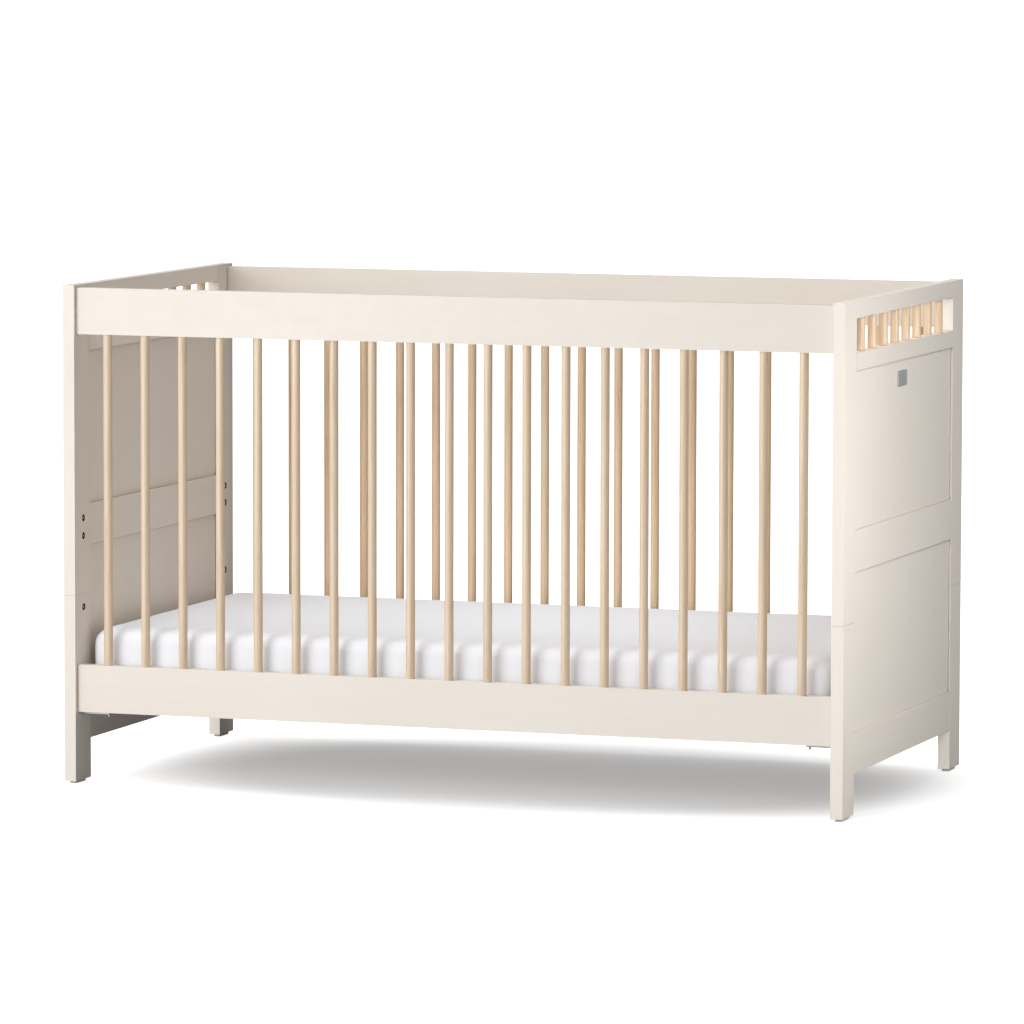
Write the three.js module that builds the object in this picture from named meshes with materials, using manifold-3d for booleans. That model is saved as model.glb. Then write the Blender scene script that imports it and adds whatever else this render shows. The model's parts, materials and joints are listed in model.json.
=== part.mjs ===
// Cot bed: two framed end panels with a row of short dowels under the top rail, two barred sides,
// a slatted base on four angle brackets that can sit at three heights, and a mattress.
// Millimetres. X runs along the bed, Y runs across it with the front at -Y, and Z is up from the floor.

import * as THREE from 'three';
import { mergeVertices } from 'three/addons/utils/BufferGeometryUtils.js';
import Module from 'manifold-3d';

const wasm = await Module();
wasm.setup();

// Overall size
const LENGTH = 1450;
const WIDTH = 765;
const HEIGHT = 895;

// Room between pieces that touch, and how far a cutting tool runs past the face it cuts
const GAP = 0.3;
const OVERCUT = 1;

// End frames: stiles and rails of one thickness around thinner panels
const END_THICKNESS = 22;
const STILE_WIDTH = 70;
const STILE_SEAM_Z = 340;
const PANEL_THICKNESS = 10;
const PANEL_LAP = 8;
const PANEL_OFFSET = 2;
const TENON_THICKNESS = 10;
const TENON_LENGTH = 20;
const PLAIN_SHOULDER = 4;
const PANEL_SHOULDER = PANEL_LAP + 2;
const SEAM_TENON = { width: 24, height: 20, inset: 42 };

// Each rail's [low, high] in Z, and how far its tenons stay in from its lower and upper edges
const TOP_RAIL = { zs: [865, HEIGHT], shoulders: [PLAIN_SHOULDER, PLAIN_SHOULDER] };
const GALLERY_RAIL = { zs: [775, 805], shoulders: [PANEL_SHOULDER, PLAIN_SHOULDER] };
const MIDDLE_RAIL = { zs: [426, 499], shoulders: [PANEL_SHOULDER, PANEL_SHOULDER] };
const BOTTOM_RAIL = { zs: [76, 147], shoulders: [PLAIN_SHOULDER, PANEL_SHOULDER] };

// Short dowels of the opening under each end's top rail
const GALLERY_DOWEL_RADIUS = 8;
const GALLERY_DOWEL_COUNT = 8;
const GALLERY_DOWEL_SEAT = 10;

// Barred sides, set back a little from the end frames' front edges
const SIDE_THICKNESS = 19;
const SIDE_SET_BACK = 9;
const SIDE_TOP_RAIL = [807.5, 890];
const SIDE_BOTTOM_RAIL = [130, 215];
const SPINDLE_RADIUS = 8;
const SPINDLE_COUNT = 19;
const BAR_PITCH = 71.8;
const SPINDLE_SEAT = 15;
const RAIL_DOWEL_RADIUS = 4;
const RAIL_DOWEL_LENGTH = 12;
const RAIL_DOWEL_SPACING = 44;

// Threaded-insert holes in the inner faces of the stiles, 160 mm between base levels
const INSERT_HOLE_RADIUS = 5.5;
const INSERT_HOLE_DEPTH = 14;
const INSERT_INSET = 39.5;
const INSERT_HEIGHTS = [156, 316, 444, 476];

// Plastic glides under the legs
const GLIDE_HEIGHT = 5;
const GLIDE_WIDTH = 14;
const GLIDE_LENGTH = 46;
const GLIDE_CORNER = 3;
const GLIDE_STEM_RADIUS = 3;
const GLIDE_STEM_LENGTH = 15;

// Slatted base
const BASE_BOTTOM_Z = 127.5;
const BASE_RAIL_HEIGHT = 32.5;
const BASE_RAIL_WIDTH = 24;
const BASE_LENGTH = 1390;
const BASE_WIDTH = 700;
const SLAT_COUNT = 13;
const SLAT_WIDTH = 62;
const SLAT_THICKNESS = 8;
const STRAP_WIDTH = 30;
const STRAP_THICKNESS = 6;
const STRAP_Y = 160;

// Steel angle brackets that carry the base
const BRACKET_THICKNESS = 2.5;
const BRACKET_WIDTH = 21;
const BRACKET_REACH = 52;
const BRACKET_HEIGHT = 50;
const BOLT_HEAD_RADIUS = 5.5;
const BOLT_HEAD_HEIGHT = 3.5;
const PIN_RADIUS = 2;
const PIN_DROP = 5.5;
const PIN_INSET = 4;

// Mattress
const MATTRESS_LENGTH = 1386;
const MATTRESS_WIDTH = 694;
const MATTRESS_THICKNESS = 110;
const MATTRESS_CORNER = 34;
const MATTRESS_ROUNDING = 24;

// Badge on the upper panel of the right end
const BADGE = { length: 55, height: 27, thickness: 2.5, corner: 4, y: -12.5, z: 741.5 };

// Flats on a round bar, and on holes and small round parts
const BAR_SIDES = 16;
const HOLE_SIDES = 12;

// Places worked out from the sizes above
const INNER_X = LENGTH / 2 - END_THICKNESS;
const STILE_Y = (WIDTH - STILE_WIDTH) / 2;
const STILE_INNER_Y = WIDTH / 2 - STILE_WIDTH;
const SIDE_Y = WIDTH / 2 - SIDE_SET_BACK - SIDE_THICKNESS / 2;
const INSERT_Y = WIDTH / 2 - INSERT_INSET;
const BASE_TOP_Z = BASE_BOTTOM_Z + BASE_RAIL_HEIGHT;
const SLAT_Z = BASE_TOP_Z + GAP;
const MATTRESS_Z = SLAT_Z + SLAT_THICKNESS + GAP;

const paint = new THREE.MeshStandardMaterial({ color: 0xeee4d8, roughness: 0.45, metalness: 0 });
const beech = new THREE.MeshStandardMaterial({ color: 0xe2c7a3, roughness: 0.6, metalness: 0 });
const pine = new THREE.MeshStandardMaterial({ color: 0xdcc39b, roughness: 0.7, metalness: 0 });
const steel = new THREE.MeshStandardMaterial({ color: 0x8f9091, roughness: 0.35, metalness: 0.9 });
const plastic = new THREE.MeshStandardMaterial({ color: 0xe6e1d6, roughness: 0.5, metalness: 0 });
const cotton = new THREE.MeshStandardMaterial({ color: 0xf3f2f1, roughness: 0.9, metalness: 0 });
const badgeMetal = new THREE.MeshStandardMaterial({ color: 0xb4b5b7, roughness: 0.3, metalness: 0.9 });

// A box between the [low, high] ranges it fills along X, Y and Z.
function box(xs, ys, zs) {
  const ranges = [xs, ys, zs];
  const sizes = ranges.map(([low, high]) => high - low);
  const centre = ranges.map(([low, high]) => (low + high) / 2);
  return new THREE.BoxGeometry(...sizes).translate(...centre);
}

// A round bar that fills the range along 'x' or 'z', with its axis through the two other coordinates.
function roundBar(along, radius, [low, high], [first, second], sides = BAR_SIDES) {
  const geometry = new THREE.CylinderGeometry(radius, radius, high - low, sides);
  const middle = (low + high) / 2;
  if (along === 'x') {
    return geometry.rotateZ(Math.PI / 2).translate(middle, first, second);
  }
  return geometry.rotateX(Math.PI / 2).translate(first, second, middle);
}

// A blind hole for a round bar: its flats clear the bar by GAP.
function roundHole(along, barRadius, range, axis) {
  const radius = (barRadius + GAP) / Math.cos(Math.PI / HOLE_SIDES);
  return roundBar(along, radius, range, axis, HOLE_SIDES);
}

// The range widened by the same amount at both ends.
function widened([low, high], amount) {
  return [low - amount, high + amount];
}

function solidOf(geometry) {
  const bare = geometry.clone();
  bare.deleteAttribute('normal');
  bare.deleteAttribute('uv');
  const merged = mergeVertices(bare);
  return new wasm.Manifold(new wasm.Mesh({
    numProp: 3,
    vertProperties: new Float32Array(merged.attributes.position.array),
    triVerts: new Uint32Array(merged.index.array),
  }));
}

function geometryOf(solid) {
  const { vertProperties, triVerts } = solid.getMesh();
  const geometry = new THREE.BufferGeometry();
  geometry.setAttribute('position', new THREE.BufferAttribute(vertProperties, 3));
  geometry.setIndex(new THREE.BufferAttribute(triVerts, 1));
  geometry.computeVertexNormals();
  return geometry;
}

// One body: the first shape with others joined to it and then others cut out of it.
function shaped(first, joined, cut) {
  let body = solidOf(first);
  for (const other of joined) {
    body = body.add(solidOf(other));
  }
  for (const tool of cut) {
    body = body.subtract(solidOf(tool));
  }
  return geometryOf(body);
}

function piece(name, geometry, material) {
  const mesh = new THREE.Mesh(geometry, material);
  mesh.name = name;
  return mesh;
}

function roundedRectangle(length, width, corner) {
  const x = length / 2;
  const y = width / 2;
  const outline = new THREE.Shape();
  outline.moveTo(-x + corner, -y);
  outline.lineTo(x - corner, -y);
  outline.absarc(x - corner, -y + corner, corner, -Math.PI / 2, 0);
  outline.lineTo(x, y - corner);
  outline.absarc(x - corner, y - corner, corner, 0, Math.PI / 2);
  outline.lineTo(-x + corner, y);
  outline.absarc(-x + corner, y - corner, corner, Math.PI / 2, Math.PI);
  outline.lineTo(-x, -y + corner);
  outline.absarc(-x + corner, -y + corner, corner, Math.PI, Math.PI * 1.5);
  return outline;
}

// Evenly spaced places, centred on 0.
function spread(count, pitch) {
  return Array.from({ length: count }, (_, i) => (i - (count - 1) / 2) * pitch);
}

// End frame. In its own axes X = 0 is the middle of its thickness and +X faces the mattress.

function panelRange(lowerRail, upperRail) {
  return [lowerRail.zs[1] - PANEL_LAP, upperRail.zs[0] + PANEL_LAP];
}

const LOWER_PANEL = panelRange(BOTTOM_RAIL, MIDDLE_RAIL);
const UPPER_PANEL = panelRange(MIDDLE_RAIL, GALLERY_RAIL);
const PANEL_YS = widened([-STILE_INNER_Y, STILE_INNER_Y], PANEL_LAP);
// The panels sit a little nearer to the outside.
const PANEL_XS = [-PANEL_THICKNESS / 2 - PANEL_OFFSET, PANEL_THICKNESS / 2 - PANEL_OFFSET];
const TENON_XS = [-TENON_THICKNESS / 2, TENON_THICKNESS / 2];
const END_XS = [-END_THICKNESS / 2, END_THICKNESS / 2];

// The grooves around both panels.
function panelGrooves() {
  return [LOWER_PANEL, UPPER_PANEL].map(
    (zs) => box(widened(PANEL_XS, GAP), widened(PANEL_YS, GAP), widened(zs, GAP)),
  );
}

// A rail's two tenons as one bar through it. `grow` is 0 for the tenons and GAP for their mortises.
function tenons(rail, grow) {
  const reach = STILE_INNER_Y + TENON_LENGTH + grow;
  const zs = [rail.zs[0] + rail.shoulders[0], rail.zs[1] - rail.shoulders[1]];
  return box(widened(TENON_XS, grow), [-reach, reach], widened(zs, grow));
}

// The stub that joins a leg to the stile above it. `grow` is 0 for the stub and GAP for its socket.
function seamTenon(side, grow) {
  const y = side * (STILE_INNER_Y + SEAM_TENON.inset);
  const half = SEAM_TENON.width / 2;
  return box(
    widened(TENON_XS, grow),
    widened([y - half, y + half], grow),
    [STILE_SEAM_Z - OVERCUT - GAP, STILE_SEAM_Z + SEAM_TENON.height + grow],
  );
}

// Blind holes in the inner face for the base's inserts and for the dowels of the side rails.
function innerFaceHoles(side) {
  const inner = END_THICKNESS / 2;
  const insertHoles = INSERT_HEIGHTS.map((z) => roundBar(
    'x', INSERT_HOLE_RADIUS, [inner - INSERT_HOLE_DEPTH, inner + OVERCUT], [side * INSERT_Y, z], HOLE_SIDES,
  ));
  const dowelHeights = [SIDE_TOP_RAIL, SIDE_BOTTOM_RAIL].flatMap(railDowelHeights);
  const dowelHoles = dowelHeights.map((z) => roundHole(
    'x', RAIL_DOWEL_RADIUS, [inner - RAIL_DOWEL_LENGTH - GAP, inner + OVERCUT], [side * SIDE_Y, z],
  ));
  return [...insertHoles, ...dowelHoles];
}

function stileCuts(side) {
  const mortises = [TOP_RAIL, GALLERY_RAIL, MIDDLE_RAIL, BOTTOM_RAIL].map((rail) => tenons(rail, GAP));
  return [...panelGrooves(), ...mortises, ...innerFaceHoles(side)];
}

function stileBox(side, zs) {
  return box(END_XS, widened([side * STILE_Y, side * STILE_Y], STILE_WIDTH / 2), zs);
}

function upperStile(side) {
  const blank = stileBox(side, [STILE_SEAM_Z + GAP / 2, HEIGHT]);
  return shaped(blank, [], [...stileCuts(side), seamTenon(side, GAP)]);
}

function leg(side) {
  const blank = stileBox(side, [GLIDE_HEIGHT, STILE_SEAM_Z - GAP / 2]);
  const stemHole = roundHole(
    'z', GLIDE_STEM_RADIUS, [0, GLIDE_HEIGHT + GLIDE_STEM_LENGTH + GAP], [0, side * STILE_Y],
  );
  return shaped(blank, [seamTenon(side, 0)], [...stileCuts(side), stemHole]);
}

function endRailBox(rail) {
  const reach = STILE_INNER_Y - GAP;
  return box(END_XS, [-reach, reach], rail.zs);
}

const GALLERY_DOWEL_YS = spread(GALLERY_DOWEL_COUNT, BAR_PITCH);
const GALLERY_DOWEL_TOP = TOP_RAIL.zs[0] + GALLERY_DOWEL_SEAT;

function endTopRail() {
  const sockets = GALLERY_DOWEL_YS.map((y) => roundHole(
    'z', GALLERY_DOWEL_RADIUS, [TOP_RAIL.zs[0] - OVERCUT, GALLERY_DOWEL_TOP + GAP], [0, y],
  ));
  return shaped(endRailBox(TOP_RAIL), [tenons(TOP_RAIL, 0)], sockets);
}

// The rail under the opening carries the short dowels, and the upper panel runs into it from below.
function galleryRail() {
  const dowels = GALLERY_DOWEL_YS.map((y) => roundBar(
    'z', GALLERY_DOWEL_RADIUS, [GALLERY_RAIL.zs[1] - OVERCUT, GALLERY_DOWEL_TOP], [0, y],
  ));
  return shaped(endRailBox(GALLERY_RAIL), [tenons(GALLERY_RAIL, 0), ...dowels], panelGrooves());
}

function panelledRail(rail) {
  return shaped(endRailBox(rail), [tenons(rail, 0)], panelGrooves());
}

function glide(side) {
  const foot = new THREE.ExtrudeGeometry(
    clippedRectangle(GLIDE_WIDTH, GLIDE_LENGTH, GLIDE_CORNER),
    { depth: GLIDE_HEIGHT - GAP, bevelEnabled: false },
  ).translate(0, side * STILE_Y, 0);
  const stem = roundBar(
    'z', GLIDE_STEM_RADIUS, [OVERCUT, GLIDE_HEIGHT + GLIDE_STEM_LENGTH], [0, side * STILE_Y], HOLE_SIDES,
  );
  return shaped(foot, [stem], []);
}

function clippedRectangle(length, width, corner) {
  const x = length / 2;
  const y = width / 2;
  return new THREE.Shape([
    new THREE.Vector2(-x + corner, -y),
    new THREE.Vector2(x - corner, -y),
    new THREE.Vector2(x, -y + corner),
    new THREE.Vector2(x, y - corner),
    new THREE.Vector2(x - corner, y),
    new THREE.Vector2(-x + corner, y),
    new THREE.Vector2(-x, y - corner),
    new THREE.Vector2(-x, -y + corner),
  ]);
}

// An end frame of twelve pieces. The right one is the left one turned half a turn, so its sides swap names.
function endFrame(end) {
  const turned = end === 'right';
  const group = new THREE.Group();
  for (const side of [-1, 1]) {
    const isFront = turned ? side > 0 : side < 0;
    const corner = `${end}_${isFront ? 'front' : 'back'}`;
    group.add(piece(`${corner}_stile`, upperStile(side), paint));
    group.add(piece(`${corner}_leg`, leg(side), paint));
    group.add(piece(`${corner}_glide`, glide(side), plastic));
  }
  group.add(piece(`${end}_end_top_rail`, endTopRail(), paint));
  group.add(piece(`${end}_end_gallery_rail`, galleryRail(), paint));
  group.add(piece(`${end}_end_middle_rail`, panelledRail(MIDDLE_RAIL), paint));
  group.add(piece(`${end}_end_bottom_rail`, panelledRail(BOTTOM_RAIL), paint));
  group.add(piece(`${end}_end_upper_panel`, box(PANEL_XS, PANEL_YS, UPPER_PANEL), paint));
  group.add(piece(`${end}_end_lower_panel`, box(PANEL_XS, PANEL_YS, LOWER_PANEL), paint));
  group.position.x = (turned ? 1 : -1) * (LENGTH - END_THICKNESS) / 2;
  group.rotation.z = turned ? Math.PI : 0;
  return group;
}

// Barred side. In its own axes Y = 0 is the middle of its thickness.

function railDowelHeights([low, high]) {
  return spread(2, RAIL_DOWEL_SPACING).map((offset) => (low + high) / 2 + offset);
}

function sideRailBox(rail) {
  const reach = INNER_X - GAP;
  return box([-reach, reach], [-SIDE_THICKNESS / 2, SIDE_THICKNESS / 2], rail);
}

function railDowels(rail) {
  const reach = INNER_X + RAIL_DOWEL_LENGTH;
  return railDowelHeights(rail).flatMap((z) => [[-reach, -INNER_X + OVERCUT], [INNER_X - OVERCUT, reach]].map(
    (xs) => roundBar('x', RAIL_DOWEL_RADIUS, xs, [0, z], HOLE_SIDES),
  ));
}

const SPINDLE_XS = spread(SPINDLE_COUNT, BAR_PITCH);
const SPINDLE_ZS = [SIDE_BOTTOM_RAIL[1] - SPINDLE_SEAT, SIDE_TOP_RAIL[0] + SPINDLE_SEAT];

function spindle(x) {
  return roundBar('z', SPINDLE_RADIUS, SPINDLE_ZS, [x, 0]);
}

function spindleSockets(zs) {
  return SPINDLE_XS.map((x) => roundHole('z', SPINDLE_RADIUS, zs, [x, 0]));
}

function sideTopRail() {
  const sockets = spindleSockets([SIDE_TOP_RAIL[0] - OVERCUT, SPINDLE_ZS[1] + GAP]);
  return shaped(sideRailBox(SIDE_TOP_RAIL), railDowels(SIDE_TOP_RAIL), sockets);
}

function sideBottomRail() {
  const sockets = spindleSockets([SPINDLE_ZS[0] - GAP, SIDE_BOTTOM_RAIL[1] + OVERCUT]);
  return shaped(sideRailBox(SIDE_BOTTOM_RAIL), railDowels(SIDE_BOTTOM_RAIL), sockets);
}

function frontSide() {
  const group = new THREE.Group();
  group.add(piece('front_top_rail', sideTopRail(), paint));
  group.add(piece('front_bottom_rail', sideBottomRail(), paint));
  SPINDLE_XS.forEach((x, i) => {
    const number = String(i + 1).padStart(2, '0');
    group.add(piece(`front_spindle_${number}`, spindle(x), beech));
  });
  group.position.y = -SIDE_Y;
  return group;
}

// The back side has its spindles joined to the bottom rail, as one comb.
function backSide() {
  const group = new THREE.Group();
  const joined = [...railDowels(SIDE_BOTTOM_RAIL), ...SPINDLE_XS.map(spindle)];
  const comb = shaped(sideRailBox(SIDE_BOTTOM_RAIL), joined, []);
  group.add(piece('back_top_rail', sideTopRail(), paint));
  group.add(piece('back_bottom_rail_with_spindles', comb, paint));
  group.position.y = SIDE_Y;
  return group;
}

// Slatted base: a frame of four rails, slats joined by two straps, and an angle bracket at each corner.

function baseSlats() {
  const pitch = (BASE_LENGTH - SLAT_WIDTH) / (SLAT_COUNT - 1);
  const ys = [-BASE_WIDTH / 2, BASE_WIDTH / 2];
  const slats = spread(SLAT_COUNT, pitch).map((x) => box(
    widened([x, x], SLAT_WIDTH / 2), ys, [SLAT_Z, SLAT_Z + SLAT_THICKNESS],
  ));
  const strapReach = BASE_LENGTH / 2 - BASE_RAIL_WIDTH - OVERCUT;
  const strapZs = [SLAT_Z - STRAP_THICKNESS, SLAT_Z + OVERCUT];
  const straps = [-STRAP_Y, STRAP_Y].map((y) => box(
    [-strapReach, strapReach], widened([y, y], STRAP_WIDTH / 2), strapZs,
  ));
  return shaped(straps[0], [...slats, straps[1]], []);
}

// The bracket of the corner at +X +Y, mirrored by signs to the other corners.
function baseBracket(xSign, ySign) {
  const faceX = INNER_X - GAP;
  const plateX = faceX - BRACKET_THICKNESS;
  const bottom = BASE_BOTTOM_Z - GAP - BRACKET_THICKNESS;
  const ys = widened([ySign * INSERT_Y, ySign * INSERT_Y], BRACKET_WIDTH / 2);
  const xs = (low, high) => [xSign * low, xSign * high].sort((a, b) => a - b);
  const plate = box(xs(plateX, faceX), ys, [bottom, bottom + BRACKET_HEIGHT]);
  const shelf = box(xs(faceX - BRACKET_REACH, faceX), ys, [bottom, bottom + BRACKET_THICKNESS]);
  const headXs = xs(plateX - BOLT_HEAD_HEIGHT, plateX + OVERCUT);
  const head = roundBar('x', BOLT_HEAD_RADIUS, headXs, [ySign * INSERT_Y, INSERT_HEIGHTS[0]]);
  const pin = roundBar(
    'z', PIN_RADIUS, [bottom - PIN_DROP, bottom + OVERCUT],
    [xSign * (faceX - BRACKET_REACH + PIN_INSET), ySign * INSERT_Y], HOLE_SIDES,
  );
  return shaped(plate, [shelf, head, pin], []);
}

function slattedBase() {
  const group = new THREE.Group();
  const zs = [BASE_BOTTOM_Z, BASE_TOP_Z];
  const halfLength = BASE_LENGTH / 2;
  const halfWidth = BASE_WIDTH / 2;
  const innerY = halfWidth - BASE_RAIL_WIDTH;
  const endYs = [-innerY + GAP, innerY - GAP];
  group.add(piece('base_front_rail', box([-halfLength, halfLength], [-halfWidth, -innerY], zs), pine));
  group.add(piece('base_back_rail', box([-halfLength, halfLength], [innerY, halfWidth], zs), pine));
  group.add(piece('base_left_rail', box([-halfLength, -halfLength + BASE_RAIL_WIDTH], endYs, zs), pine));
  group.add(piece('base_right_rail', box([halfLength - BASE_RAIL_WIDTH, halfLength], endYs, zs), pine));
  group.add(piece('base_slats', baseSlats(), pine));
  for (const [end, xSign] of [['left', -1], ['right', 1]]) {
    for (const [side, ySign] of [['front', -1], ['back', 1]]) {
      group.add(piece(`base_bracket_${end}_${side}`, baseBracket(xSign, ySign), steel));
    }
  }
  return group;
}

function mattress() {
  const rounding = MATTRESS_ROUNDING;
  const outline = roundedRectangle(
    MATTRESS_LENGTH - 2 * rounding, MATTRESS_WIDTH - 2 * rounding, MATTRESS_CORNER - rounding,
  );
  const geometry = new THREE.ExtrudeGeometry(outline, {
    depth: MATTRESS_THICKNESS - 2 * rounding,
    bevelThickness: rounding,
    bevelSize: rounding,
    bevelSegments: 3,
    curveSegments: 3,
  });
  return piece('mattress', geometry.translate(0, 0, MATTRESS_Z + rounding), cotton);
}

// A plain plate on the outer face of the right end's upper panel.
function badge() {
  const outline = roundedRectangle(BADGE.length, BADGE.height, BADGE.corner);
  const extrusion = { depth: BADGE.thickness, bevelEnabled: false, curveSegments: 4 };
  const plate = new THREE.ExtrudeGeometry(outline, extrusion);
  const mesh = piece('badge', plate, badgeMetal);
  mesh.rotation.set(Math.PI / 2, Math.PI / 2, 0);
  const panelFace = (LENGTH - END_THICKNESS + PANEL_THICKNESS) / 2 + PANEL_OFFSET;
  mesh.position.set(panelFace + GAP, BADGE.y, BADGE.z);
  return mesh;
}

const cotBed = new THREE.Group();
cotBed.add(endFrame('left'), endFrame('right'), frontSide(), backSide(), slattedBase(), mattress(), badge());

export default cotBed;
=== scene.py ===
"""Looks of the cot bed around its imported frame: painted boards, turned bars, slatted base, mattress.

Metres, in the frame's own axes: X along the bed, Y across it with the front at -Y, Z up from the floor.
"""

import json
import math

import bmesh
import bpy
import numpy as np
from mathutils import Matrix, Vector

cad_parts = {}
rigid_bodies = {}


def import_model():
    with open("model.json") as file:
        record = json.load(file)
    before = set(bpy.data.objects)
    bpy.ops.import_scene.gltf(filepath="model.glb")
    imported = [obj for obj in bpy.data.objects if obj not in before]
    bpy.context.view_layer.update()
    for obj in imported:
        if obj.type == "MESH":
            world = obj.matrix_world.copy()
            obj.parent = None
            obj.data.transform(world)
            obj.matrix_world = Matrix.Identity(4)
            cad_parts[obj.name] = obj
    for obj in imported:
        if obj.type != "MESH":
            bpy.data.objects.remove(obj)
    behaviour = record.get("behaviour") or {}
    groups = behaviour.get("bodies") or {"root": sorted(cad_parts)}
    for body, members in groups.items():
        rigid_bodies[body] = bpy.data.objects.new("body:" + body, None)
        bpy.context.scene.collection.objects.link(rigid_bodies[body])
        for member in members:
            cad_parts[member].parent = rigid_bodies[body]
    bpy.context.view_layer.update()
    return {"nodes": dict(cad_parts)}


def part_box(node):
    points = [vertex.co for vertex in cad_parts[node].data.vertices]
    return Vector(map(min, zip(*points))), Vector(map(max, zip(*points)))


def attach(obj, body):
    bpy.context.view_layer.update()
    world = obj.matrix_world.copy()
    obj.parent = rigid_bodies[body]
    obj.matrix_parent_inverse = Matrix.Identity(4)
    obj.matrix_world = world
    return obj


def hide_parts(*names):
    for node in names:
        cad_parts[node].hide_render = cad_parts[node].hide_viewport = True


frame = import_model()
nodes = frame["nodes"]

MM = 0.001

# ---------------------------------------------------------------- camera

CAMERA_PLACE = (3.8028, -10.9757, 1.5779)
CAMERA_TURN = math.radians(19.156)
CAMERA_PITCH = math.radians(5.403)
CAMERA_ROLL = math.radians(0.119)
SENSOR_WIDTH = 36.0
LENS = 227.3


def make_camera():
    data = bpy.data.cameras.new("photo_camera")
    data.sensor_width = SENSOR_WIDTH
    data.lens = LENS
    data.clip_start = 0.1
    data.clip_end = 500.0
    camera = bpy.data.objects.new("photo_camera", data)
    bpy.context.scene.collection.objects.link(camera)
    turn = Matrix.Rotation(CAMERA_TURN, 4, "Z")
    tilt = Matrix.Rotation(math.pi / 2 - CAMERA_PITCH, 4, "X")
    roll = Matrix.Rotation(CAMERA_ROLL, 4, "Z")
    camera.matrix_world = Matrix.Translation(CAMERA_PLACE) @ turn @ tilt @ roll
    bpy.context.scene.camera = camera


# ---------------------------------------------------------------- light and floor

# Softboxes: where each stands, what it faces, its width and height, and its power in watts.
LAMPS = {
    "front_softbox": ((-1.7, -3.9, 1.15), (-0.3, -0.35, 0.5), (2.2, 1.8), 70.0),
    "front_right_softbox": ((2.4, -3.6, 0.65), (0.5, -0.35, 0.4), (1.0, 1.0), 14.0),
    "top_softbox": ((-0.5, 0.1, 3.2), (-0.3, 0.1, 0.0), (1.6, 1.6), 18.0),
    "floor_softbox": ((0.0, 0.5, 4.0), (0.0, 0.2, 0.0), (3.6, 3.0), 20.0),
    "mattress_softbox": ((-0.65, -0.4, 2.35), (-0.6, -0.1, 0.3), (0.5, 0.9), 5.0),
    "mattress_side_softbox": ((-1.0, -1.3, 0.8), (-0.6, -0.35, 0.3), (0.6, 0.5), 0.8),
    "back_legs_softbox": ((-0.8, -3.2, 0.12), (0.0, 0.37, 0.07), (0.5, 0.15), 24.0),
    "left_end_softbox": ((0.4, 0.0, 1.6), (-0.7, 0.0, 0.45), (0.4, 0.4), 1.0),
    "side_softbox": ((1.45, -0.52, 0.6), (0.7, -0.35, 0.45), (0.5, 0.5), 4.2),
    "high_side_softbox": ((2.2, -0.62, 2.2), (0.7, -0.1, 0.5), (0.5, 0.5), 15.8),
}


def softbox(name):
    place, aim, size, power = LAMPS[name]
    data = bpy.data.lights.new(name, "AREA")
    data.shape = "RECTANGLE"
    data.size, data.size_y = size
    data.energy = power
    light = bpy.data.objects.new(name, data)
    bpy.context.scene.collection.objects.link(light)
    light.location = place
    light.rotation_euler = (Vector(aim) - Vector(place)).to_track_quat("-Z", "Y").to_euler()
    return light


MATTRESS_SUN_FROM = (0.5, -0.1, 0.87)
MATTRESS_SUN_ANGLE = math.radians(40)
MATTRESS_SUN_POWER = 1.0


def distant_lamp(name):
    """A lamp too far off for its light to change as the mattress is lifted."""
    data = bpy.data.lights.new(name, "SUN")
    data.angle = MATTRESS_SUN_ANGLE
    data.energy = MATTRESS_SUN_POWER
    light = bpy.data.objects.new(name, data)
    bpy.context.scene.collection.objects.link(light)
    light.rotation_euler = Vector(MATTRESS_SUN_FROM).to_track_quat("Z", "Y").to_euler()
    return light


# The dome's brightness: an even part, and parts that grow towards the left, the front and the top.
SKY_EVEN = 0.10
SKY_LEFT = 1.26
SKY_FRONT = 0.4
SKY_TOP = 0.22


def only_on(light, things):
    """Keeps a light's beam on the given things, as flags round a studio lamp do."""
    lit = bpy.data.collections.new(f"{light.name}_lit")
    for thing in things:
        lit.objects.link(thing)
    light.light_linking.receiver_collection = lit


def keep_off(light, things):
    """Flags a light off the given things."""
    shaded = bpy.data.collections.new(f"{light.name}_shaded")
    for thing in things:
        shaded.objects.link(thing)
    light.light_linking.receiver_collection = shaded
    for entry in shaded.collection_objects:
        entry.light_linking.link_state = "EXCLUDE"


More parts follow.
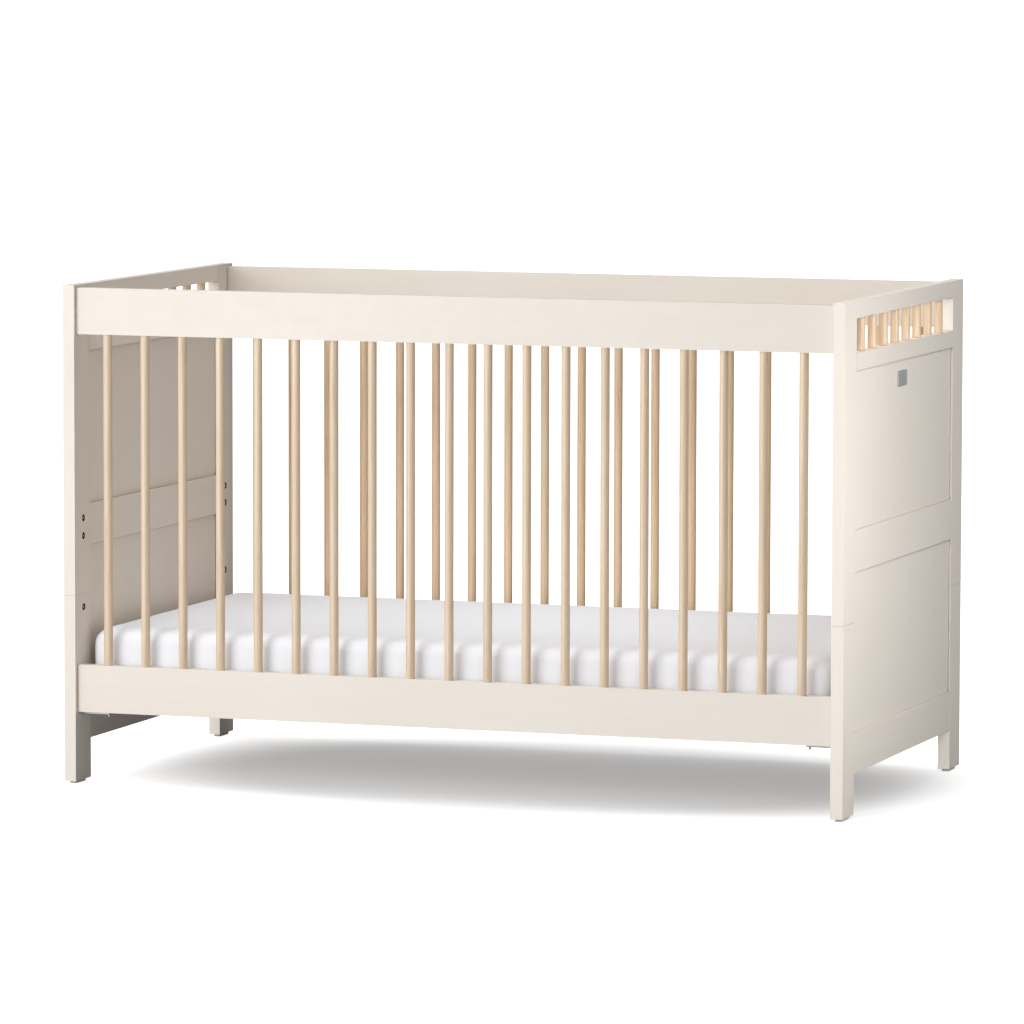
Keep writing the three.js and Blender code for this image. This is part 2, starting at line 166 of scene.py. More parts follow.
def make_light():
    """A soft dome and softboxes, with a plain white background behind them."""
    world = bpy.data.worlds.new("studio")
    bpy.context.scene.world = world
    world.use_nodes = True
    tree = world.node_tree
    dome = tree.nodes["Background"]
    dome.inputs["Color"].default_value = (1.0, 0.997, 0.993, 1.0)
    direction = tree.nodes.new("ShaderNodeTexCoord")
    split = tree.nodes.new("ShaderNodeSeparateXYZ")
    tree.links.new(direction.outputs["Generated"], split.inputs[0])
    strength = None
    for axis, sign, gain in (("X", -1, SKY_LEFT), ("Y", -1, SKY_FRONT), ("Z", 1, SKY_TOP)):
        facing = tree.nodes.new("ShaderNodeMath")
        facing.operation = "MULTIPLY"
        facing.use_clamp = True
        facing.inputs[1].default_value = sign
        tree.links.new(split.outputs[axis], facing.inputs[0])
        part = tree.nodes.new("ShaderNodeMath")
        part.operation = "MULTIPLY_ADD"
        part.inputs[1].default_value = gain
        part.inputs[2].default_value = SKY_EVEN
        tree.links.new(facing.outputs[0], part.inputs[0])
        if strength is not None:
            tree.links.new(strength, part.inputs[2])
        strength = part.outputs[0]
    tree.links.new(strength, dome.inputs["Strength"])
    white = tree.nodes.new("ShaderNodeBackground")
    white.inputs["Color"].default_value = (1.0, 1.0, 1.0, 1.0)
    rays = tree.nodes.new("ShaderNodeLightPath")
    both = tree.nodes.new("ShaderNodeMixShader")
    tree.links.new(rays.outputs["Is Camera Ray"], both.inputs["Fac"])
    tree.links.new(dome.outputs[0], both.inputs[1])
    tree.links.new(white.outputs[0], both.inputs[2])
    tree.links.new(both.outputs[0], tree.nodes["World Output"].inputs["Surface"])
    softbox("front_softbox")
    inside_left = [node for name, node in nodes.items() if name.startswith(("left_end_", "left_back_"))]
    keep_off(softbox("front_right_softbox"), inside_left)
    bpy.context.scene.view_settings.view_transform = "Standard"
    bpy.context.scene.view_settings.look = "None"


def light_single_parts(mattress):
    """Lamps flagged onto single parts: the mattress, the back legs, the left end and the right end."""
    keep_off(softbox("top_softbox"), [mattress])
    only_on(distant_lamp("mattress_lamp"), [mattress])
    only_on(softbox("mattress_softbox"), [mattress])
    only_on(softbox("mattress_side_softbox"), [mattress])
    only_on(softbox("back_legs_softbox"), [nodes["left_back_leg"], nodes["right_back_leg"]])
    left = [thing for thing in bpy.data.objects if thing.name.startswith(("left_end_", "left_gallery_"))]
    only_on(softbox("left_end_softbox"), left)
    right = [thing for thing in bpy.data.objects if thing.name.startswith(("right_", "badge_plate"))]
    only_on(softbox("side_softbox"), right)
    only_on(softbox("high_side_softbox"), right)


FLOOR_SEEN = (0.89, 0.90, 0.915, 1.0)
FLOOR_BOUNCE = (0.405, 0.415, 0.44, 1.0)
# Under the bed the seen floor glows less than away from it: a painted shadow, with a glowing floor round
# it.
FLOOR_GLOW_UNDER_BED = 0.31
FLOOR_GLOW = 0.9
GLOW_MIDDLE = (0.06, 0.0, 0.0)
GLOW_REACH = (0.84, 0.60, 1.0)
GLOW_START = 0.65
GLOW_END = 1.2


def make_floor():
    """A white floor: its glow is weak under the bed and stronger away from it, a painted shadow under the
    bed over the real shade, and its bounce is weak.
    """
    bpy.ops.mesh.primitive_plane_add(size=300.0, location=(0.0, 0.0, 0.0))
    floor = bpy.context.active_object
    floor.name = "floor"
    material = bpy.data.materials.new("floor_white")
    material.use_nodes = True
    tree = material.node_tree
    shader = tree.nodes["Principled BSDF"]
    shader.inputs["Base Color"].default_value = FLOOR_SEEN
    shader.inputs["Roughness"].default_value = 0.9
    shader.inputs["Specular IOR Level"].default_value = 0.0
    shader.inputs["Emission Color"].default_value = (1.0, 1.0, 1.0, 1.0)
    place = tree.nodes.new("ShaderNodeTexCoord")
    reach = tree.nodes.new("ShaderNodeMapping")
    reach.vector_type = "TEXTURE"
    reach.inputs["Location"].default_value = GLOW_MIDDLE
    reach.inputs["Scale"].default_value = GLOW_REACH
    away = tree.nodes.new("ShaderNodeVectorMath")
    away.operation = "LENGTH"
    glow = tree.nodes.new("ShaderNodeMapRange")
    glow.interpolation_type = "SMOOTHSTEP"
    glow.inputs["From Min"].default_value = GLOW_START
    glow.inputs["From Max"].default_value = GLOW_END
    glow.inputs["To Min"].default_value = FLOOR_GLOW_UNDER_BED
    glow.inputs["To Max"].default_value = FLOOR_GLOW
    tree.links.new(place.outputs["Object"], reach.inputs["Vector"])
    tree.links.new(reach.outputs["Vector"], away.inputs[0])
    tree.links.new(away.outputs["Value"], glow.inputs["Value"])
    # Painted shadow: the floor's emission is weak under the bed and strong away from it.
    tree.links.new(glow.outputs["Result"], shader.inputs["Emission Strength"])
    bounce = tree.nodes.new("ShaderNodeBsdfDiffuse")
    bounce.inputs["Color"].default_value = FLOOR_BOUNCE
    rays = tree.nodes.new("ShaderNodeLightPath")
    both = tree.nodes.new("ShaderNodeMixShader")
    tree.links.new(rays.outputs["Is Camera Ray"], both.inputs["Fac"])
    tree.links.new(bounce.outputs[0], both.inputs[1])
    tree.links.new(shader.outputs[0], both.inputs[2])
    tree.links.new(both.outputs[0], tree.nodes["Material Output"].inputs["Surface"])
    floor.data.materials.append(material)
    only_on(softbox("floor_softbox"), [floor])


# ---------------------------------------------------------------- materials

class Nodes:
    """A material's node tree with short ways to add and join nodes."""

    def __init__(self, name, roughness, specular=0.5):
        self.material = bpy.data.materials.new(name)
        self.material.use_nodes = True
        self.tree = self.material.node_tree
        self.shader = self.tree.nodes["Principled BSDF"]
        self.shader.inputs["Roughness"].default_value = roughness
        self.shader.inputs["Specular IOR Level"].default_value = specular

    def add(self, kind, **inputs):
        node = self.tree.nodes.new(kind)
        for key, value in inputs.items():
            node.inputs[key.replace("_", " ")].default_value = value
        return node

    def join(self, source, target):
        self.tree.links.new(source, target)

    def place(self, scale):
        """Object coordinates multiplied by scale along X, Y and Z."""
        coordinates = self.add("ShaderNodeTexCoord")
        mapping = self.add("ShaderNodeMapping", Scale=scale)
        self.join(coordinates.outputs["Object"], mapping.inputs["Vector"])
        return mapping.outputs["Vector"]

    def noise(self, scale, detail=3.0, rough=0.5, distortion=0.0, stretch=(1.0, 1.0, 1.0)):
        noise = self.add("ShaderNodeTexNoise", Scale=scale, Detail=detail)
        noise.inputs["Roughness"].default_value = rough
        noise.inputs["Distortion"].default_value = distortion
        self.join(self.place(stretch), noise.inputs["Vector"])
        return noise.outputs["Fac"]

    def ramp(self, value, stops):
        ramp = self.add("ShaderNodeValToRGB")
        elements = ramp.color_ramp.elements
        while len(elements) < len(stops):
            elements.new(0.5)
        for element, (position, colour) in zip(elements, stops):
            element.position = position
            element.color = (*colour, 1.0)
        self.join(value, ramp.inputs["Fac"])
        return ramp.outputs["Color"]

    def remap(self, value, low, high, to_low, to_high):
        node = self.add("ShaderNodeMapRange")
        node.inputs["From Min"].default_value = low
        node.inputs["From Max"].default_value = high
        node.inputs["To Min"].default_value = to_low
        node.inputs["To Max"].default_value = to_high
        self.join(value, node.inputs["Value"])
        return node.outputs["Result"]

    def mix(self, kind, factor, first, second):
        node = self.tree.nodes.new("ShaderNodeMix")
        node.data_type = "RGBA"
        node.blend_type = kind
        node.inputs["Factor"].default_value = factor
        for socket, value in ((node.inputs["A"], first), (node.inputs["B"], second)):
            if isinstance(value, bpy.types.NodeSocket):
                self.join(value, socket)
            else:
                socket.default_value = (*value, 1.0)
        return node.outputs["Result"]

    def bump(self, height, strength, distance, under=None):
        bump = self.add("ShaderNodeBump", Strength=strength, Distance=distance)
        self.join(height, bump.inputs["Height"])
        if under is not None:
            self.join(under, bump.inputs["Normal"])
        return bump.outputs["Normal"]

    def finish(self, colour, roughness=None, normal=None):
        self.join(colour, self.shader.inputs["Base Color"])
        if roughness is not None:
            self.join(roughness, self.shader.inputs["Roughness"])
        if normal is not None:
            self.join(normal, self.shader.inputs["Normal"])
        return self.material


def along(axis, fine):
    """Scale that stretches a pattern along one axis: 'x', 'y' or 'z'."""
    return tuple(fine if name == axis else 1.0 for name in "xyz")


PAINT_LIGHT = (0.855, 0.79, 0.705)
PAINT_DEEP = (0.825, 0.757, 0.672)
# Painted shade: where ambient occlusion finds creases, recesses and undersides of edges, the paint is
# darkened towards this tint.
PAINTED_SHADE_TINT = (0.50, 0.487, 0.475)
PAINTED_SHADE_REACH = 14 * MM
PAINTED_SHADE_SAMPLES = 16
# Added to the surface's direction, so that the painted shade darkens the underside of an edge more than its
# top.
PAINTED_SHADE_TILT = (0.0, 0.0, 0.2)
PAINTED_SHADE_DEEP = 0.36
PAINTED_SHADE_CLEAR = 0.68


def paint(axis):
    """Satin ivory paint: the wood's grain along axis just shows, and painted shade darkens creases,
    recesses and the undersides of edges.
    """
    n = Nodes(f"ivory_paint_{axis}", 0.42)
    cloud = n.noise(2.3, 3.0)
    grain = n.noise(170.0, 5.0, 0.6, 0.3, along(axis, 0.035))
    colour = n.ramp(cloud, [(0.3, PAINT_DEEP), (0.7, PAINT_LIGHT)])
    streak = n.ramp(grain, [(0.35, (0.965, 0.96, 0.955)), (0.6, (1.0, 1.0, 1.0))])
    colour = n.mix("MULTIPLY", 0.45, colour, streak)
    # Painted shade: ambient occlusion, tilted upward, darkens the paint's colour in creases and under
    # edges.
    painted_shade_ao = n.add("ShaderNodeAmbientOcclusion", Distance=PAINTED_SHADE_REACH)
    painted_shade_ao.samples = PAINTED_SHADE_SAMPLES
    surface = n.add("ShaderNodeNewGeometry")
    upward = n.add("ShaderNodeVectorMath")
    upward.operation = "ADD"
    upward.inputs[1].default_value = PAINTED_SHADE_TILT
    level = n.add("ShaderNodeVectorMath")
    level.operation = "NORMALIZE"
    n.join(surface.outputs["Normal"], upward.inputs[0])
    n.join(upward.outputs["Vector"], level.inputs[0])
    n.join(level.outputs["Vector"], painted_shade_ao.inputs["Normal"])
    shade = n.ramp(painted_shade_ao.outputs["AO"], [(PAINTED_SHADE_DEEP, PAINTED_SHADE_TINT), (PAINTED_SHADE_CLEAR, (1.0, 1.0, 1.0))])
    colour = n.mix("MULTIPLY", 1.0, colour, shade)
    roughness = n.remap(n.noise(35.0, 3.0), 0.3, 0.7, 0.37, 0.5)
    normal = n.bump(grain, 0.10, 0.0006)
    normal = n.bump(n.noise(900.0, 2.0), 0.05, 0.0002, normal)
    return n.finish(colour, roughness, normal)


# The front bars' beech is a lit copy of the other bars' beech: nearly the same tones, but a stronger,
# broader gloss makes the front bars pale where the lamps fall, standing in for the brighter light on them.
LIT_COPY_BEECH = ((0.80, 0.61, 0.41), (0.73, 0.54, 0.34), (0.58, 0.385, 0.215))
WARM_BEECH = ((0.82, 0.625, 0.42), (0.735, 0.53, 0.335), (0.56, 0.36, 0.20))
BAR_GRAIN = 300.0
BOARD_GRAIN = 95.0
GRAIN_STRETCH = 0.018
PINE = ((0.80, 0.62, 0.42), (0.74, 0.54, 0.34), (0.60, 0.40, 0.23))
LIT_COPY_DULLNESS = 0.60
LIT_COPY_REFRACTION = 2.0
WARM_DULLNESS = 0.5
WARM_REFRACTION = 1.6
PINE_DULLNESS = 0.6
PINE_REFRACTION = 1.5


def bare_wood(name, axis, tones, dullness, grain, refraction):
    """Lacquered bare wood with its grain along axis.

    The tones are pale, middle and dark. Dullness is the mean roughness, and grain is in lines a metre.
    """
    pale, mid, dark = tones
    n = Nodes(name, dullness, 1.0)
    n.shader.inputs["IOR"].default_value = refraction
    rings = n.noise(grain, 5.0, 0.6, 0.9, along(axis, GRAIN_STRETCH))
    board = n.noise(6.0, 2.0, 0.5, 0.0, along(axis, 0.3))
    pores = n.noise(900.0, 2.0, 0.5, 0.0, along(axis, 0.03))
    colour = n.ramp(rings, [(0.28, dark), (0.45, mid), (0.66, pale)])
    tone = n.ramp(board, [(0.3, (0.93, 0.91, 0.88)), (0.7, (1.0, 1.0, 1.0))])
    colour = n.mix("MULTIPLY", 0.8, colour, tone)
    flecks = n.ramp(pores, [(0.30, (0.80, 0.74, 0.66)), (0.42, (1.0, 1.0, 1.0))])
    colour = n.mix("MULTIPLY", 0.5, colour, flecks)
    roughness = n.remap(rings, 0.3, 0.7, dullness + 0.08, dullness - 0.05)
    normal = n.bump(rings, 0.12, 0.0004)
    normal = n.bump(pores, 0.15, 0.0002, normal)
    return n.finish(colour, roughness, normal)


def steel(name):
    n = Nodes(name, 0.35)
    n.shader.inputs["Metallic"].default_value = 1.0
    brushed = n.noise(600.0, 3.0, 0.5, 0.0, along("x", 0.05))
    colour = n.ramp(brushed, [(0.3, (0.50, 0.505, 0.51)), (0.7, (0.60, 0.605, 0.61))])
    roughness = n.remap(n.noise(60.0, 4.0), 0.3, 0.7, 0.28, 0.45)
    return n.finish(colour, roughness, n.bump(brushed, 0.08, 0.0001))


def shade_sleeve_metal():
    n = Nodes("dark_insert_metal", 0.6, 0.2)
    mottled = n.noise(500.0, 3.0)
    # Near black: painted shade standing in for the shadowed gap round each insert.
    colour = n.ramp(mottled, [(0.3, (0.012, 0.012, 0.012)), (0.7, (0.022, 0.021, 0.02))])
    return n.finish(colour, n.remap(mottled, 0.3, 0.7, 0.5, 0.7), n.bump(mottled, 0.1, 0.0001))


def badge_metal():
    n = Nodes("badge_brushed_metal", 0.5)
    n.shader.inputs["Metallic"].default_value = 0.55
    brushed = n.noise(900.0, 2.0, 0.5, 0.0, along("y", 0.03))
    colour = n.ramp(brushed, [(0.3, (0.44, 0.438, 0.435)), (0.7, (0.54, 0.537, 0.532))])
    return n.finish(colour, n.remap(brushed, 0.3, 0.7, 0.48, 0.60), n.bump(brushed, 0.08, 0.0001))


def plastic():
    n = Nodes("moulded_plastic", 0.5)
    texture = n.noise(700.0, 2.0)
    colour = n.ramp(n.noise(12.0, 2.0), [(0.3, (0.80, 0.785, 0.74)), (0.7, (0.84, 0.825, 0.785))])
    return n.finish(colour, n.remap(texture, 0.3, 0.7, 0.45, 0.58), n.bump(texture, 0.15, 0.0002))


COTTON_LIGHT = (0.865, 0.88, 0.92)
COTTON_DEEP = (0.845, 0.86, 0.905)


def cotton():
    """White cotton sheet: a fine plain weave with soft, low unevenness."""
    n = Nodes("white_cotton", 0.92, 0.2)
    n.shader.inputs["Sheen Weight"].default_value = 0.12
    n.shader.inputs["Sheen Roughness"].default_value = 0.5
    coordinates = n.add("ShaderNodeTexCoord")
    threads = []
    for direction in ("X", "Y"):
        wave = n.add("ShaderNodeTexWave", Scale=420.0, Distortion=0.6, Detail=1.0)
        wave.bands_direction = direction
        n.join(coordinates.outputs["Object"], wave.inputs["Vector"])
        threads.append(wave.outputs["Fac"])
    weave = n.add("ShaderNodeMath")
    weave.operation = "MULTIPLY"
    n.join(threads[0], weave.inputs[0])
    n.join(threads[1], weave.inputs[1])
    soft = n.noise(14.0, 3.0)
    colour = n.ramp(soft, [(0.3, COTTON_DEEP), (0.7, COTTON_LIGHT)])
    normal = n.bump(weave.outputs[0], 0.12, 0.0003)
    normal = n.bump(soft, 0.25, 0.004, normal)
    return n.finish(colour, n.remap(soft, 0.3, 0.7, 0.88, 0.96), normal)


# ---------------------------------------------------------------- boards kept from the frame

# How far each kind of board's edges are rounded.
GLIDE_EDGE = 0.8 * MM
BRACKET_EDGE = 0.5 * MM
BASE_RAIL_EDGE = 1.5 * MM
SLAT_EDGE = 1.2 * MM
POST_EDGE = 1.0 * MM
END_RAIL_EDGE = 1.6 * MM
SIDE_RAIL_EDGE = 0.9 * MM
# Corners closer together than this are one.
MERGE_DISTANCE = 0.01 * MM


def set_material(thing, material):
    thing.data.materials.clear()
    thing.data.materials.append(material)


def ease_edges(thing, width, segments=3):
    """Rounds a faceted board's edges; flat faces are merged first, so only real corners are rounded."""
    for polygon in thing.data.polygons:
        polygon.use_smooth = True
    weld = thing.modifiers.new("weld", "WELD")
    weld.merge_threshold = MERGE_DISTANCE
    flat = thing.modifiers.new("merge_flat_faces", "DECIMATE")
    flat.decimate_type = "DISSOLVE"
    flat.angle_limit = math.radians(1.0)
    bevel = thing.modifiers.new("eased_edges", "BEVEL")
    bevel.width = width
    bevel.segments = segments
    bevel.limit_method = "ANGLE"
    bevel.angle_limit = math.radians(40.0)
    bevel.use_clamp_overlap = True
    normals = thing.modifiers.new("even_shading", "WEIGHTED_NORMAL")
    normals.keep_sharp = False
    normals.weight = 100


def finish_boards(painted, pine_x, pine_y, plastic_finish, steel_finish):
    for name, node in nodes.items():
        if node.hide_render:
            continue
        if name.endswith("_glide"):
            set_material(node, plastic_finish)
            ease_edges(node, GLIDE_EDGE)
        elif name.startswith("base_bracket"):
            set_material(node, steel_finish)
            ease_edges(node, BRACKET_EDGE, 2)
        elif name in ("base_front_rail", "base_back_rail"):
            set_material(node, pine_x)
            ease_edges(node, BASE_RAIL_EDGE)
        elif name.startswith("base_"):
            set_material(node, pine_y)
            ease_edges(node, SLAT_EDGE)
        elif name.endswith(("_stile", "_leg", "_panel")):
            set_material(node, painted["z"])
            ease_edges(node, POST_EDGE)
        elif "_end_" in name:
            set_material(node, painted["y"])
            ease_edges(node, END_RAIL_EDGE)
        else:
            set_material(node, painted["x"])
            ease_edges(node, SIDE_RAIL_EDGE)


# ---------------------------------------------------------------- new pieces

def new_piece(name, mesh_builder, material, body, replaced=()):
    """A mesh object filled in by mesh_builder(bm), riding on a body and standing for the replaced nodes."""
    mesh = bpy.data.meshes.new(name)
    bm = bmesh.new()
    mesh_builder(bm)
    bmesh.ops.recalc_face_normals(bm, faces=bm.faces)
    bm.to_mesh(mesh)
    bm.free()
    thing = bpy.data.objects.new(name, mesh)
    bpy.context.scene.collection.objects.link(thing)
    mesh.materials.append(material)
    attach(thing, body)
    if replaced:
        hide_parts(*replaced)
    return thing


def smooth(thing, angle=35.0):
    """Smooth shading that keeps edges sharper than angle."""
    bm = bmesh.new()
    bm.from_mesh(thing.data)
    for face in bm.faces:
        face.smooth = True
    for edge in bm.edges:
        if len(edge.link_faces) == 2:
            edge.smooth = edge.calc_face_angle() < math.radians(angle)
    bm.to_mesh(thing.data)
    bm.free()


def skin(bm, rings):
    """Faces between each ring of points and the next."""
    for first, second in zip(rings, rings[1:]):
        for i in range(len(first)):
            j = (i + 1) % len(first)
            bm.faces.new((first[i], first[j], second[j], second[i]))


def turned_bar(bm, x, y, low, high, radius, sides=40, taper=0.0015):
    """A round bar along Z with small rounded ends."""
    profile = [(low, radius - taper), (low + taper * 0.3, radius - taper * 0.3), (low + taper, radius)]
    rows = 10
    profile += [(low + (high - low) * i / rows, radius) for i in range(1, rows)]
    profile += [(high - taper, radius), (high - taper * 0.3, radius - taper * 0.3), (high, radius - taper)]
    rings = []
    for z, r in profile:
        ring = []
        for i in range(sides):
            angle = 2 * math.pi * i / sides
            ring.append(bm.verts.new((x + r * math.cos(angle), y + r * math.sin(angle), z)))
        rings.append(ring)
    skin(bm, rings)
    bm.faces.new(reversed(rings[0]))
    bm.faces.new(rings[-1])


GALLERY_BARS = 8
GALLERY_RAIL_HEIGHT = 30 * MM
GALLERY_SOCKET = 5 * MM
CUT_MARGIN = 0.01 * MM


def make_bars(front_wood, other_wood):
    """Round bars in place of the faceted ones: 19 in each side, 8 in each end's opening."""
    front = [name for name in sorted(nodes) if name.startswith("front_spindle")]
    first_low, first_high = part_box(front[0])
    spindle_radius = (first_high.x - first_low.x) / 2
    for name in front:
        low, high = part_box(name)
        middle = (low + high) / 2
        bar = new_piece(
            name.replace("front_spindle", "front_bar"),
            lambda bm: turned_bar(bm, middle.x, middle.y, low.z, high.z, spindle_radius),
            front_wood, "frame", [name])
        smooth(bar)
        back = new_piece(
            name.replace("front_spindle", "back_bar"),
            lambda bm: turned_bar(bm, middle.x, -middle.y, low.z, high.z, spindle_radius),
            other_wood, "frame")
        smooth(back)
    pitch = (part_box(front[1])[0] - first_low).x
    for end in ("left", "right"):
        low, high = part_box(f"{end}_end_gallery_rail")
        foot = low.z + GALLERY_RAIL_HEIGHT - GALLERY_SOCKET
        for i in range(GALLERY_BARS):
            y = (i - (GALLERY_BARS - 1) / 2) * pitch
            bar = new_piece(
                f"{end}_gallery_bar_{i + 1}",
                lambda bm: turned_bar(bm, (low.x + high.x) / 2, y, foot, high.z, spindle_radius),
                other_wood, "frame")
            smooth(bar)


def mesh_copy(bm, node):
    """The node's own mesh with its split corners merged."""
    bm.from_mesh(nodes[node].data)
    bmesh.ops.remove_doubles(bm, verts=bm.verts, dist=MERGE_DISTANCE)


def make_rails(painted):
    """Rails whose frame node has bars joined to it: the same rail without the bars."""
    def back_rail(bm):
        mesh_copy(bm, "front_bottom_rail")
        bmesh.ops.scale(bm, vec=(1.0, -1.0, 1.0), verts=bm.verts)

    rail = new_piece("back_bottom_rail", back_rail, painted["x"], "frame",
                     ["back_bottom_rail_with_spindles"])
    ease_edges(rail, SIDE_RAIL_EDGE)
    for end in ("left", "right"):
        node = f"{end}_end_gallery_rail"
        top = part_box(node)[0].z + GALLERY_RAIL_HEIGHT

        def gallery_rail(bm):
            mesh_copy(bm, node)
            everything = bm.verts[:] + bm.edges[:] + bm.faces[:]
            level = (0, 0, top - CUT_MARGIN)
            cut = bmesh.ops.bisect_plane(
                bm, geom=everything, plane_co=level, plane_no=(0, 0, 1), clear_outer=True)
            edges = [e for e in cut["geom_cut"] if isinstance(e, bmesh.types.BMEdge)]
            bmesh.ops.contextual_create(bm, geom=edges)

        rail = new_piece(f"{end}_gallery_lower_rail", gallery_rail, painted["y"], "frame",
                         [node])
        ease_edges(rail, END_RAIL_EDGE)


# ---------------------------------------------------------------- mattress in its fitted sheet

SHEET_CORNER = 26 * MM
SHEET_TOP_CORNER = 46 * MM
SHEET_LEAST_CORNER = 6 * MM
SHEET_TOP_EDGE = 24 * MM
SHEET_LOW_EDGE = 20 * MM
SHEET_INSET = 1 * MM
SHEET_SWELL = 3 * MM
SHEET_VOXEL = 8 * MM
SHEET_FRAMES = 20


def rounded_outline(half_x, half_y, corner, steps=12):
    """Points of a rectangle with round corners, anticlockwise."""
    points = []
    for quarter, (sx, sy) in enumerate(((1, 1), (-1, 1), (-1, -1), (1, -1))):
        for i in range(steps + 1):
            angle = math.pi / 2 * (quarter + i / steps)
            points.append((sx * (half_x - corner) + corner * math.cos(angle),
                           sy * (half_y - corner) + corner * math.sin(angle)))
    return points


def cushion_profile(low, high, steps=8):
    """Rows of (inset from the outline, height) up a side with a rounded lower and upper edge."""
    rows = []
    for i in range(steps + 1):
        angle = math.pi / 2 * i / steps
        rows.append((SHEET_LOW_EDGE * (1 - math.sin(angle)), low + SHEET_LOW_EDGE * (1 - math.cos(angle))))
    for i in range(steps + 1):
        angle = math.pi / 2 * i / steps
        rows.append((SHEET_TOP_EDGE * (1 - math.cos(angle)), high - SHEET_TOP_EDGE * (1 - math.sin(angle))))
    return rows


def cushion_shape(bm, middle, half_x, half_y, low, high):
    rings = []
    for inset, z in cushion_profile(low, high):
        corner = max(SHEET_CORNER - inset, SHEET_LEAST_CORNER)
        if z > (low + high) / 2:
            corner = SHEET_CORNER + (SHEET_TOP_CORNER - SHEET_CORNER) * inset / SHEET_TOP_EDGE
        outline = rounded_outline(half_x - inset, half_y - inset, corner)
        rings.append([bm.verts.new((middle.x + x, middle.y + y, z)) for x, y in outline])
    skin(bm, rings)
    bm.faces.new(reversed(rings[0]))
    bm.faces.new(rings[-1])


def apply_modifiers(thing):
    """Turns the thing's modifiers into its mesh."""
    depsgraph = bpy.context.evaluated_depsgraph_get()
    made = bpy.data.meshes.new_from_object(thing.evaluated_get(depsgraph))
    old = thing.data
    thing.modifiers.clear()
    thing.data = made
    bpy.data.meshes.remove(old)


def puff(thing, most, room_low, room_high):
    """Inflates the cover by cloth simulation, moving no point by more than most or out of its room."""
    start = np.empty(len(thing.data.vertices) * 3)
    thing.data.vertices.foreach_get("co", start)
    start = start.reshape(-1, 3)
    cloth = thing.modifiers.new("cloth", "CLOTH")
    settings = cloth.settings
    settings.quality = 4
    settings.mass = 0.25
    settings.tension_stiffness = 12.0
    settings.compression_stiffness = 12.0
    settings.shear_stiffness = 4.0
    settings.bending_stiffness = 0.4
    settings.use_pressure = True
    settings.uniform_pressure_force = 4.0
    settings.effector_weights.gravity = 0.0
    scene = bpy.context.scene
    for step in range(1, SHEET_FRAMES + 1):
        scene.frame_set(step)
    depsgraph = bpy.context.evaluated_depsgraph_get()
    evaluated = thing.evaluated_get(depsgraph)
    moved = np.empty(len(evaluated.data.vertices) * 3)
    evaluated.data.vertices.foreach_get("co", moved)
    moved = moved.reshape(-1, 3)
    thing.modifiers.remove(cloth)
    scene.frame_set(1)
    shift = moved - start
    length = np.linalg.norm(shift, axis=1, keepdims=True)
    shift *= most * np.tanh(length / most) / np.maximum(length, 1e-9)
    final = np.clip(start + shift, room_low, room_high)
    thing.data.vertices.foreach_set("co", final.ravel())
    thing.data.update()


def make_mattress(cover):
    low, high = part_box("mattress")
    middle = (low + high) / 2
    half = (high - low) / 2
    inset = SHEET_INSET

    def shape(bm):
        cushion_shape(bm, middle, half.x - inset, half.y - inset, low.z + 0.2 * MM, high.z - 2 * inset)

    mattress = new_piece("mattress_in_fitted_sheet", shape, cover, "mattress",
                         ["mattress"])
    remesh = mattress.modifiers.new("even_mesh", "REMESH")
    remesh.mode = "VOXEL"
    remesh.voxel_size = SHEET_VOXEL
    apply_modifiers(mattress)
    puff(mattress, SHEET_SWELL, tuple(low), tuple(high))
    for polygon in mattress.data.polygons:
        polygon.use_smooth = True
    finer = mattress.modifiers.new("finer", "SUBSURF")
    finer.levels = 1
    finer.render_levels = 1
    return mattress


# ---------------------------------------------------------------- small metal pieces

INSERT_HEIGHTS = (156 * MM, 316 * MM, 444 * MM, 476 * MM)
INSERT_Y = 343 * MM
STILE_INNER_X = 703 * MM


def lathe_x(bm, profile, x, y, z, side, sides=32):
    """Turns a profile of (depth from the face, radius) about a line along X; side is the way it faces."""
    rings = []
    for depth, radius in profile:
        ring = []
        for i in range(sides):
            angle = 2 * math.pi * i / sides
            across, up = radius * math.cos(angle), radius * math.sin(angle)
            ring.append(bm.verts.new((x - side * depth, y + across, z + up)))
        rings.append(ring)
    skin(bm, rings)
    bm.faces.new(rings[0])
    bm.faces.new(reversed(rings[-1]))


# Profiles as rows of (depth from the post's face, radius), in millimetres.
INSERT_SLEEVE = ((12.0, 3.0), (12.0, 5.4), (-0.02, 5.4), (-0.02, 6.4), (-0.25, 6.2), (-0.25, 4.6),
                 (2.0, 4.0), (4.0, 3.8), (4.0, 3.0))
INSERT_CORE = ((3.8, 2.2), (0.5, 2.2), (0.2, 1.9), (0.2, 0.9), (0.6, 0.6), (3.8, 0.5))


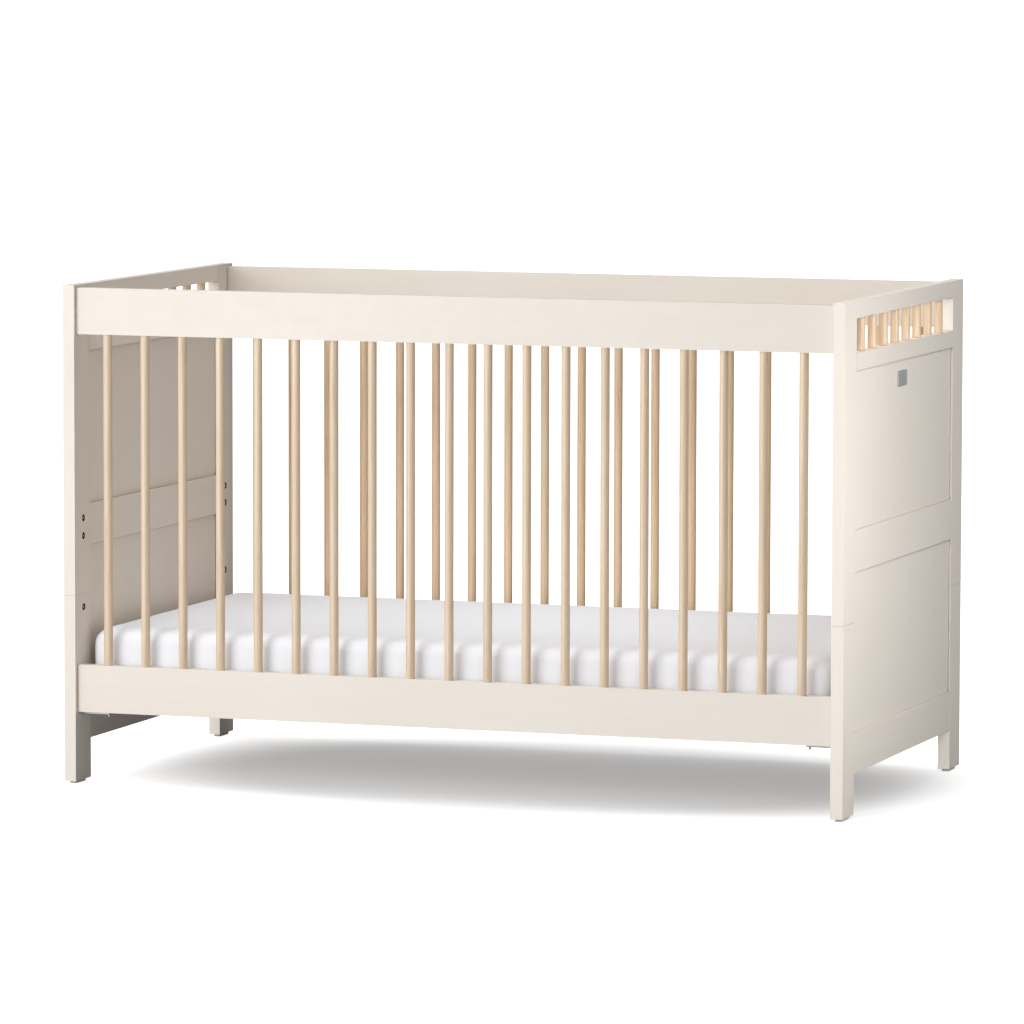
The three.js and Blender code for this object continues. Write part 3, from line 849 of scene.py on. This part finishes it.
def make_inserts(dark, bright):
    """Threaded inserts sunk in the inner faces of the corner posts: a near-black sleeve, painted shade for
    the shadowed gap round each insert, round a bright core.
    """
    parts = (("insert_sleeves", INSERT_SLEEVE, dark), ("insert_cores", INSERT_CORE, bright))
    for end, sx in (("left", -1), ("right", 1)):
        for face, sy in (("front", -1), ("back", 1)):
            for part, rows, metal in parts:
                profile = [(depth * MM, radius * MM) for depth, radius in rows]

                def rings(bm):
                    for z in INSERT_HEIGHTS:
                        lathe_x(bm, profile, sx * STILE_INNER_X, sy * INSERT_Y, z, -sx)

                inserts = new_piece(f"{end}_{face}_{part}", rings, metal, "frame")
                smooth(inserts, 30.0)


BADGE_CORNER = 4 * MM
BADGE_RIM = 2.2 * MM
BADGE_RELIEF = 0.7 * MM


def make_badge(metal):
    """A plain rounded plate with a raised rim."""
    low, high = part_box("badge")
    middle = (low + high) / 2
    half_y, half_z = (high.y - low.y) / 2, (high.z - low.z) / 2

    def ring(bm, inset, x):
        outline = rounded_outline(half_y - inset, half_z - inset, max(BADGE_CORNER - inset, 0.5 * MM), 8)
        return [bm.verts.new((x, middle.y + y, middle.z + z)) for y, z in outline]

    def plate(bm):
        rim = BADGE_RIM
        rows = [(0.0, low.x), (0.0, high.x - 0.5 * MM), (0.15 * MM, high.x - 0.15 * MM), (0.5 * MM, high.x),
                (rim - 0.4 * MM, high.x), (rim, high.x - 0.2 * MM), (rim + 0.3 * MM, high.x - BADGE_RELIEF)]
        rings = [ring(bm, inset, x) for inset, x in rows]
        skin(bm, rings)
        bm.faces.new(reversed(rings[0]))
        bm.faces.new(rings[-1])

    badge = new_piece("badge_plate", plate, metal, "frame", ["badge"])
    smooth(badge, 40.0)


make_camera()
make_light()
make_floor()

paints = {axis: paint(axis) for axis in "xyz"}
# The front bars get the lit copy of the beech; the back and gallery bars get the plain one.
lit_copy_beech = bare_wood("lit_copy_beech", "z", LIT_COPY_BEECH, LIT_COPY_DULLNESS, BAR_GRAIN, LIT_COPY_REFRACTION)
warm_beech = bare_wood("warm_beech", "z", WARM_BEECH, WARM_DULLNESS, BAR_GRAIN, WARM_REFRACTION)
pine_x = bare_wood("base_pine_x", "x", PINE, PINE_DULLNESS, BOARD_GRAIN, PINE_REFRACTION)
pine_y = bare_wood("base_pine_y", "y", PINE, PINE_DULLNESS, BOARD_GRAIN, PINE_REFRACTION)
make_bars(lit_copy_beech, warm_beech)
make_rails(paints)
mattress = make_mattress(cotton())
make_inserts(shade_sleeve_metal(), steel("zinc_insert_cores"))
make_badge(badge_metal())
finish_boards(paints, pine_x, pine_y, plastic(), steel("zinc_plated_steel"))
light_single_parts(mattress)
